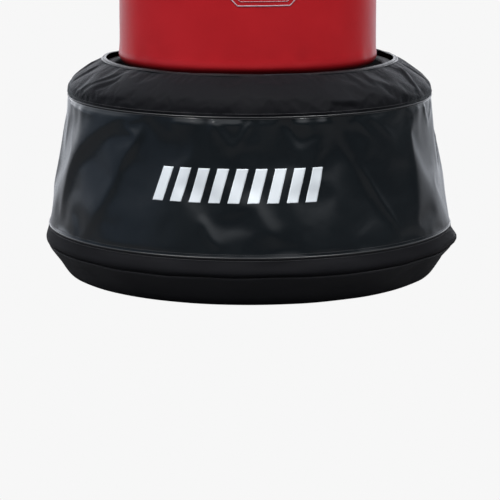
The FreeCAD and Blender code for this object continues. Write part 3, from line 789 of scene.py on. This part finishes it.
def make_cover():
    """The cover's four panels. Returns how far the simulation and the tank moved the skirt's points."""
    bowl = cover_panel("base_cover_bowl", BOWL_LINE, BOWL_ROWS, BOWL_NYLON_PAINTED_LIGHT, "cover_lower_panel")
    band = cover_panel("base_cover_band", BAND_LINE, BAND_ROWS, LOWER_NYLON, "cover_band")
    skirt = cover_panel("base_cover_skirt", SKIRT_LINE, SKIRT_ROWS, BLACK_VINYL, "cover_skirt")
    yoke = cover_panel("base_cover_yoke", YOKE_LINE, YOKE_ROWS, NYLON, "cover_yoke")
    before = mesh_points(skirt.data)
    start_cloth(skirt, held_rows(SKIRT_ROWS), grow=0.0018, bend=20.0)
    start_cloth(yoke, held_rows(YOKE_ROWS), grow=0.007, bend=0.4)
    run_cloth({skirt: 1.6 * MM, yoke: 2.6 * MM})
    for panel in (bowl, band, skirt, yoke):
        keep_off(panel, "base_tank", CLOTH_THICKNESS + TANK_GAP)
    moved = (mesh_points(skirt.data) - before).reshape(SKIRT_ROWS, COVER_COLUMNS, 3)
    for panel, line, slot in ((bowl, BOWL_LINE, "cover_nylon"), (band, BAND_LINE, "cover_nylon"),
                              (skirt, SKIRT_LINE, "cover_vinyl"), (yoke, YOKE_LINE, "cover_nylon")):
        thicken(panel, CLOTH_THICKNESS)
    return moved


def make_cover_seams():
    """Piping in the upper and the lower seam, and rows of stitches beside them."""
    for word, height, lift, radius in (("top", TOP_SEAM - 1, 0.6 * MM, 1.35 * MM),
                                       ("low", LOW_SEAM + 0.5, 0.4 * MM, 1.3 * MM)):
        piping = tube_mesh(f"{word}_seam_piping", cover_ring(SKIRT_LINE, height, lift)[0], radius, PIPING)
        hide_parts(f"{word}_seam_welt")
        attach(piping, "base")
    for name, line, height in (("yoke_topstitch", YOKE_LINE, TOP_SEAM + 4.5),
                               ("skirt_topstitch", SKIRT_LINE, LOW_SEAM + 5.5),
                               ("band_topstitch", BAND_LINE, LOW_SEAM - 4.0)):
        path, out = cover_ring(line, height, 0.1 * MM)
        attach(stitch_row(name, path, out, THREAD), "base")


def make_binding():
    """Folded tape over the collar's edge, with its row of stitches."""
    profile, _ = curve_through(YOKE_LINE, 61)
    out = outline_normals(profile)[-1]
    tip = profile[-1]
    along = unit(tip - profile[-6])
    foot = tip - along * 7.5 * MM

    def side(*corners):
        """Points of the tape's section, as (way up the collar, way out of it) in millimetres from its foot."""
        return [foot + along * up * MM + out * away * MM for up, away in corners]

    edge = [tip + along * 1.7 * MM * math.sin(turn) + out * (1.5 * MM * math.cos(turn) - 0.75 * MM)
            for turn in np.linspace(0, math.pi, 11)]
    inner = side((4, -2.3), (0.5, -2.4), (0, -2.1), (0, 0.55))
    loop = np.array(side((0, 0.55), (0.5, 0.95), (4, 0.8)) + edge + inner)
    angle = all_round()
    wobble = ripples(angle, 0, 21, 9, (3, 16), 100, 0.7)
    dip = -2.2 * MM * bell(angle, 14, 10) + 1.6 * MM * bell(angle, -84, 12)
    offset = cover_offset(angle, COLLAR_EDGE - 1)
    points = stand_off(loop, out[None], offset, angle[None], COVER_SHIFT)
    points[..., 2] += wobble + dip
    uv = paired(np.radians(angle)[None] * COLLAR_RADIUS * MM, run_along(loop)[:, None])
    tape = grid("collar_binding_tape", points, uv, BINDING)
    weld(tape)
    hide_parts("collar_binding")
    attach(tape, "base")
    stitches = stitch_row("binding_topstitch", points[2, :-1], round_z(*out, angle)[:-1], THREAD)
    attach(stitches, "base")


# ================================== plain mark on the skirt
MARK_HEIGHT = (177.0, 236.0)
MARK_SPAN = (-28.0, 21.5)
MARK_BARS = 9
MARK_SLANT = 2.6
MARK_ROWS = 181


def skirt_move(moved, angle, share):
    """How far the skirt has moved from its folds' shape at an angle and a share of its height."""
    table = np.concatenate([moved, moved[:, :1]], axis=1)
    row = np.clip(share * (table.shape[0] - 1), 0, table.shape[0] - 1.001)
    column = np.clip((angle + 180) / 360 * COVER_COLUMNS, 0, COVER_COLUMNS - 0.001)
    r, c = row.astype(int), column.astype(int)
    a, b = (row - r)[..., None], (column - c)[..., None]
    low = table[r, c] * (1 - b) + table[r, c + 1] * b
    high = table[r + 1, c] * (1 - b) + table[r + 1, c + 1] * b
    return low * (1 - a) + high * a


def make_mark(moved):
    """A row of plain slanted bars printed on the front of the skirt, which follow its moved cloth."""
    pieces = []
    pitch = (MARK_SPAN[1] - MARK_SPAN[0]) / MARK_BARS
    profile, _ = curve_through(SKIRT_LINE, MARK_ROWS)
    keep = (profile[:, 1] / MM > MARK_HEIGHT[0]) & (profile[:, 1] / MM < MARK_HEIGHT[1])
    rows = profile[keep]
    places = np.linspace(0, 1, MARK_ROWS)[keep]
    normal = outline_normals(profile)[keep]
    share = (rows[:, 1] - rows[0, 1]) / (rows[-1, 1] - rows[0, 1]) - 0.5
    for bar in range(MARK_BARS):
        centre = MARK_SPAN[0] + (bar + 0.5) * pitch
        across = np.linspace(-0.30, 0.30, 9) * pitch
        angle = centre + across[None] + MARK_SLANT * share[:, None]
        offset = cover_offset(angle, rows[:, 1:] / MM) + 0.45 * MM
        points = stand_off(rows, normal, offset, angle, COVER_SHIFT)
        uv = paired(np.radians(angle) * FOLD_RADIUS * MM, points[..., 2])
        points = points + skirt_move(moved, angle, places[:, None])
        pieces.append(grid(f"skirt_mark_{bar + 1}", points, uv, PRINT, wrap=False))
    mark = merge(pieces, "skirt_mark")
    thicken(mark, 0.3 * MM)
    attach(mark, "base")


# ================================== underside of the cover
UNDERSIDE_LINE = [(321.8, 1.4), (300, 0.8), (262, 0.6), (232, 0.8), (219, 1.0), (214, 1.4), (206, 1.6),
                  (201.5, 3.6), (204, 7.0), (214, 7.6), (219.5, 5.0)]
# The flat cloth: a disc with a hole, and the hem that is folded up round the hole.
# The elastic pulls the cloth back towards the middle of the tank.
UNDERSIDE_SHIFT = 0.4 * COVER_SHIFT


def make_underside():
    """The cloth under the base, with its gathered hem round the opening."""
    profile, _ = curve_through(UNDERSIDE_LINE, 60)
    angle = all_round(480)
    gather = smoothstep(-profile[:, 0], -0.232, -0.212)[:, None]
    wave = ripples(angle, 0, 31, 12, (30, 64), 100, 0.35)[None] * gather
    radius = profile[:, :1] + 1.6 * wave
    height = np.maximum(profile[:, 1:] + np.abs(wave) * (profile[:, 1:] > 2.5 * MM), 0.25 * MM)
    points = round_z(radius, height, angle[None], UNDERSIDE_SHIFT)
    uv = paired(np.radians(angle)[None] * COLLAR_RADIUS * MM, profile[:, :1])
    panel = grid("cover_underside_cloth", points, uv, LOWER_NYLON)
    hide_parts("cover_floor_panel")
    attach(panel, "base")


# ================================== bag
BAG_R = 228.6
BAG_TOP = 1748.85
BAG_FOOT = 372.0
FOOT_R, HEAD_R = 19.6, 11
ZIP_LOW, ZIP_HIGH = 402.0, 1690.0
TOP_RADIUS, TOP_EDGE, TOP_CROWN = 217.2, 1748.9, 7.5
RING_OUTER, RING_INNER, RING_HEIGHT = 203.5, 137.2, 372.2
SKIN_COLUMNS = 300
SKIN_ROWS = 150
SKIN_THICKNESS = 1.2 * MM


def skin_offset(angle, height):
    """How far the red vinyl stands off its cylinder, in metres: slow swells, and pinches by its seams."""
    swell = ripples(angle, height, 41, 8, (1, 4), 900, 0.55)
    swell = swell + ripples(angle, height, 42, 14, (4, 13), 220, 0.22)
    swell = swell + bell(height, 398, 16) * ripples(angle, 0, 43, 10, (14, 34), 100, 0.35)
    swell = swell + 1.6 * MM * bell(height, 389, 9)
    return swell + bell(height, 1728, 14) * ripples(angle, 0, 44, 10, (14, 34), 100, 0.4)


def zip_channel(angle, height):
    """Depth of the zip's channel and height of the folded lips beside it."""
    across = np.abs(np.radians(turn_from(angle, 180)) * BAG_R)
    below, above = height - ZIP_LOW, height - ZIP_HIGH
    inside = smoothstep(below, -3, 0.5) * (1 - smoothstep(above, -0.5, 3))
    lip = smoothstep(below, -8, -2) * (1 - smoothstep(above, 2, 8))
    depth = -3.0 * MM * (1 - smoothstep(across, 7.6, 8.4)) * inside
    rise = 0.9 * MM * smoothstep(across, 7.8, 9.0) * (1 - smoothstep(across, 15.0, 17.0)) * lip
    return depth + rise


def skin_columns():
    """Angles round the bag, close together beside the zip."""
    fine = np.degrees(np.arange(-20, 20.01, 0.8) / BAG_R) + 180
    coarse = np.linspace(-180 + 5.6, 180 - 5.6, SKIN_COLUMNS - len(fine))
    left = fine[fine > 180] - 360
    return np.concatenate([[-180.0], left, coarse, fine[fine < 180 - 1e-9], [180.0]])


def skin_outline():
    """Half outline of the bag's side: turned-in foot, rounded edge, straight side and rounded shoulder."""
    foot = [(BAG_R - FOOT_R + FOOT_R * math.sin(t), BAG_FOOT + FOOT_R * (1 - math.cos(t)))
            for t in np.linspace(0, math.pi / 2, 12)]
    head = [(BAG_R - HEAD_R + HEAD_R * math.cos(t), BAG_TOP - HEAD_R + HEAD_R * math.sin(t))
            for t in np.linspace(0, math.pi / 2, 9)]
    heights = [394.5, 397.5, 400, 402.5, 405, *np.linspace(412, 1680, SKIN_ROWS - 36),
               1686, 1689.5, 1691.5, 1694, 1698, 1706, 1715, 1724, 1731]
    side = [(BAG_R, z) for z in heights]
    return np.array([(BAG_R - 26, BAG_FOOT)] + foot + side + head + [(BAG_R - 12, BAG_TOP)]) * MM


def make_skin():
    """The red side of the bag, with the zip's channel in its back."""
    profile = skin_outline()
    normal = outline_normals(profile)
    angle, height = np.meshgrid(skin_columns(), profile[:, 1] / MM)
    side = smoothstep(normal[:, 0], 0.2, 0.9)[:, None]
    offset = (skin_offset(angle, height) + zip_channel(angle, height)) * side
    points = stand_off(profile, normal, offset, angle, BAG_SHIFT)
    uv = paired(np.radians(angle) * BAG_R * MM, run_along(profile)[:, None])
    skin = grid("bag_skin", points, uv, RED_SIDE)
    thicken(skin, SKIN_THICKNESS)
    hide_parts("bag_cover_side")
    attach(skin, "bag")


def revolve(name, line, columns, material, seed):
    """A turned solid with softly rounded corners and faint unevenness on its faces."""
    hollow = line[0][0] > 0
    outline = np.array(line + line[:1] if hollow else line, float)
    steps = [np.linspace(p, q, max(2, int(np.linalg.norm(q - p) / 10)), endpoint=False)
             for p, q in zip(outline[:-1], outline[1:])]
    loop = np.vstack(steps + [outline[-1:]])
    for _ in range(2):
        ends = loop[:1], loop[-1:]
        low, high = 0.75 * loop[:-1] + 0.25 * loop[1:], 0.25 * loop[:-1] + 0.75 * loop[1:]
        loop = np.stack([low, high], axis=1).reshape(-1, 2)
        loop = np.vstack([loop, loop[:1]]) if hollow else np.vstack([ends[0], loop, ends[1]])
    loop = loop * MM
    angle, height = np.meshgrid(all_round(columns), loop[:, 1] / MM)
    radius = np.maximum(loop[:, :1] - np.abs(ripples(angle, height, seed, 6, (3, 12), 200, 0.25)), 0.0)
    uv = paired(np.radians(angle) * 0.2, run_along(loop)[:, None])
    piece = grid(name, round_z(radius, loop[:, 1:], angle), uv, material)
    weld(piece)
    return piece


def make_foam():
    """The foam inside the skin: a thick tube, and the round pad on top of it."""
    body_line = [(127.2, 374.6), (204, 374.6), (222.6, 386), (223.8, 400), (223.8, 1703.6), (127.2, 1703.6)]
    body = revolve("foam_body", body_line, 160, FOAM, 2)
    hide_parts("foam_wrap")
    pad_line = [(0, 1706.4), (224.0, 1706.4), (224.0, 1731), (215, 1742.6), (120, 1745.6), (0, 1745.8)]
    pad = revolve("foam_top_cushion", pad_line, 160, FOAM, 5)
    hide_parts("foam_top_pad")
    for piece, voxel in ((pad, 6 * MM), (body, 14 * MM)):
        remesh(piece, voxel)
        start_cloth(piece, bend=4.0, pressure=4.0, stiffness=30.0)
    run_cloth({pad: 1.2 * MM, body: 0.8 * MM})
    for piece in (pad, body):
        smooth = piece.modifiers.new("smooth", "SUBSURF")
        smooth.levels = smooth.render_levels = 1
    for piece in (body, pad):
        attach(piece, "bag")


def make_bag_top():
    """Crowned top panel, with faint puckers along its edge."""
    reach = np.linspace(0, TOP_RADIUS * MM, 46)
    crown = TOP_EDGE * MM + TOP_CROWN * MM * (1 - (reach / reach[-1]) ** 2) ** 0.8
    angle, share = np.meshgrid(all_round(240), reach / reach[-1])
    pucker = ripples(angle, 0, 51, 12, (16, 40), 100, 0.5) * bell(share, 1, 0.07)
    swell = ripples(angle, share * 200, 52, 6, (1, 4), 160, 0.5) * (1 - share**4) * share
    points = round_z(reach[:, None], crown[:, None] + pucker + swell, angle, BAG_SHIFT)
    top = grid("bag_top_panel", points, points[..., :2], RED_PAINTED_SHADE, flip=True)
    weld(top)
    thicken(top, SKIN_THICKNESS)
    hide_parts("bag_cover_top")
    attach(top, "bag")


def make_bag_bottom():
    """Flat ring under the bag, which the core comes through."""
    reach = np.linspace(RING_OUTER * MM, RING_INNER * MM, 20)
    angle, across = np.meshgrid(all_round(240), reach / MM)
    height = RING_HEIGHT * MM + ripples(angle, across, 53, 8, (3, 14), 120, 0.12)
    points = round_z(reach[:, None], height, angle, BAG_SHIFT)
    ring = grid("bag_bottom_panel", points, points[..., :2], RED_PAINTED_SHADE, flip=True)
    thicken(ring, SKIN_THICKNESS, offset=1.0)
    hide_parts("bag_cover_bottom")
    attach(ring, "bag")


def make_top_piping():
    """Piping round the bag's top, and the row of stitches under it."""
    angle = all_round(420)[:-1]
    wobble = ripples(angle, 0, 54, 8, (4, 20), 100, 0.25)
    path = round_z(217.0 * MM + wobble, 1750.0 * MM, angle, BAG_SHIFT)
    piping = tube_mesh("bag_top_piping", path, 2.1 * MM, RED_PIPING, sides=12)
    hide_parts("bag_top_welt")
    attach(piping, "bag")
    path = round_z(227.2 * MM, 1743.0 * MM + wobble, angle, BAG_SHIFT)
    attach(stitch_row("bag_top_stitches", path, round_z(0.8, 0.6, angle), RED_THREAD), "bag")


# ================================== badge
def printed_line(name, corners, width, closed, centre):
    """A mitred line of that width through (across, height) corners in millimetres, laid on the bag's front."""
    p = np.array(corners, float)
    if closed:
        into, away = p - np.roll(p, 1, 0), np.roll(p, -1, 0) - p
    else:
        into = away = np.array([p[1] - p[0]] * 2)
    into, away = unit(into), unit(away)
    mitre = unit(np.stack([-(into + away)[:, 1], (into + away)[:, 0]], axis=1))
    side = np.stack([-into[:, 1], into[:, 0]], axis=1)
    mitre *= (width / 2) / np.sum(mitre * side, axis=1)[:, None]
    left, right = p + mitre, p - mitre
    if closed:
        left, right = np.vstack([left, left[:1]]), np.vstack([right, right[:1]])
    t = np.linspace(0, 1, 24)[:, None]
    flat = np.concatenate([np.stack([a + (b - a) * t, c + (d - c) * t], axis=1)
                           for a, b, c, d in zip(left, left[1:], right, right[1:])])
    lanes = np.linspace(0, 1, 4)[None, :, None]
    flat = flat[:, :1] * (1 - lanes) + flat[:, 1:] * lanes
    angle = centre + np.degrees(flat[..., 0] / BAG_R)
    radius = (BAG_R + 0.35) * MM + skin_offset(angle, flat[..., 1])
    points = round_z(radius, flat[..., 1] * MM, angle, BAG_SHIFT)
    return grid(name, points, flat * MM, BADGE, wrap=False, flip=True)


def make_badge():
    """A plain eight-sided outline with short bars in it, printed on the front of the bag."""
    centre, low, wide, tall, cut = 7.0, 496.0, 158.0, 112.0, 34.0
    half, top = wide / 2, low + tall
    corners = [(-half + cut, low), (half - cut, low), (half, low + cut), (half, top - cut), (half - cut, top),
               (-half + cut, top), (-half, top - cut), (-half, low + cut)]
    inner = [(x * 0.9, low + tall / 2 + (z - low - tall / 2) * 0.87) for x, z in corners]
    strips = [(corners, 2.0, True), (inner, 0.9, True)]
    for row, reach in enumerate((34, 50, 34)):
        z = low + 26 + row * 30
        strips.append(([(-reach, z), (reach, z)], 7.0, False))
    badge = merge([printed_line(f"badge_{index}", *strip, centre) for index, strip in enumerate(strips)],
                  "bag_badge")
    thicken(badge, 0.25 * MM)
    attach(badge, "bag")


# ================================== zip
TOOTH_PITCH = 2.6
# One tooth's outline as (across, up) in millimetres, and its levels as (height, share of that outline).
TOOTH = [(-3.1, -0.8), (-1.4, -0.95), (0.2, -0.55), (1.1, -0.75), (1.5, 0.0), (1.1, 0.75), (0.2, 0.55),
         (-1.4, 0.95), (-3.1, 0.8)]
TOOTH_LEVELS = ((0.0, 1.0), (1.7, 1.0), (2.3, 0.8))


def make_zip():
    """Both tapes, a row of stitches beside each, and the teeth."""
    for side, word in ((-1, "left"), (1, "right")):
        across = np.linspace(0.05, 7.8, 9) * side
        height = np.linspace(ZIP_LOW + 0.3, ZIP_HIGH - 0.3, 320)[:, None]
        bead = 0.35 * MM * bell(np.abs(across), 1.2, 0.7)
        radius = (BAG_R - 1.5) * MM + bead[None] + 0.05 * MM * np.sin(height * 2.2)
        points = np.stack(np.broadcast_arrays(-across[None] * MM + BAG_SHIFT, radius, height * MM), axis=-1)
        tape = grid(f"zip_tape_{word}_cloth", points, paired(across[None] * MM, height * MM), TAPE_CLOTH,
                    wrap=False, flip=side < 0)
        thicken(tape, 0.8 * MM)
        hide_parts(f"zip_tape_{word}")
        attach(tape, "bag")
        line = [(-side * 12.5 * MM + BAG_SHIFT, (BAG_R + 0.75) * MM, z * MM)
                for z in np.linspace(ZIP_LOW, ZIP_HIGH, 400)]
        out = [(0.0, 1.0, 0.0)] * len(line)
        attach(stitch_row(f"zip_stitches_{word}", line, out, RED_THREAD, closed=False), "bag")
    make_teeth()


def make_teeth():
    """Interlocked moulded teeth, alternately from the left and the right tape."""
    low, high = ZIP_LOW + 3.2, ZIP_HIGH - 9
    vertices = []
    for i in range(int((high - low) / (TOOTH_PITCH / 2))):
        side = 1 if i % 2 else -1
        z = low + i * TOOTH_PITCH / 2
        for depth, grow in TOOTH_LEVELS:
            y = (BAG_R - 0.4 + depth) * MM
            vertices += [(-side * x * grow * MM + BAG_SHIFT, y, (z + up * grow) * MM)
                         for x, up in TOOTH[::-side]]
    teeth = ringed_solids("zip_teeth_row", vertices, len(TOOTH), len(TOOTH_LEVELS), TEETH, False)
    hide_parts("zip_chain")
    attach(teeth, "bag")


# ================================== core
def make_waist():
    """The corrugated plastic that bends between the socket and the core tube."""
    low, high, folds = 452.2, 519.8, 4
    height = np.linspace(low, high, 90)
    share = (height - low) / (high - low)
    fold = np.sin(share * folds * 2 * math.pi) * np.sin(share * math.pi)
    wall = 112.5 + 9 * smoothstep(share, 0, 1) + 5.5 * fold
    angle = all_round(160)[None]
    points = round_z(wall[:, None] * MM, height[:, None] * MM, angle)
    waist = grid("core_bellows", points, paired(np.radians(angle) * 0.12, height[:, None] * MM), CORE)
    thicken(waist, 2.4 * MM)
    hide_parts("core_waist")
    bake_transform(waist)


# ================================== finishes on the CAD nodes that stay
FINISHES = {
    "base_tank": TANK, "water_ballast": WATER, "fill_cap": CAP, "cap_gasket": RUBBER, "hem_elastic": ELASTIC,
    "seat_ring": RUBBER, "core_socket": CORE, "core_tube": CORE, "zip_stops": STOP_METAL,
    "zip_slider": ZIP_METAL, "zip_pull": ZIP_METAL,
}


def paint(node, material):
    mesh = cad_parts[node].data
    if not mesh.materials:
        mesh.materials.append(material)
    for i in range(len(mesh.materials)):
        mesh.materials[i] = material


skirt_moved = make_cover()
make_cover_seams()
make_binding()
make_mark(skirt_moved)
make_underside()
make_skin()
make_foam()
make_bag_top()
make_bag_bottom()
make_top_piping()
make_badge()
make_zip()
make_waist()
for node_name, finish in FINISHES.items():
    paint(node_name, finish)
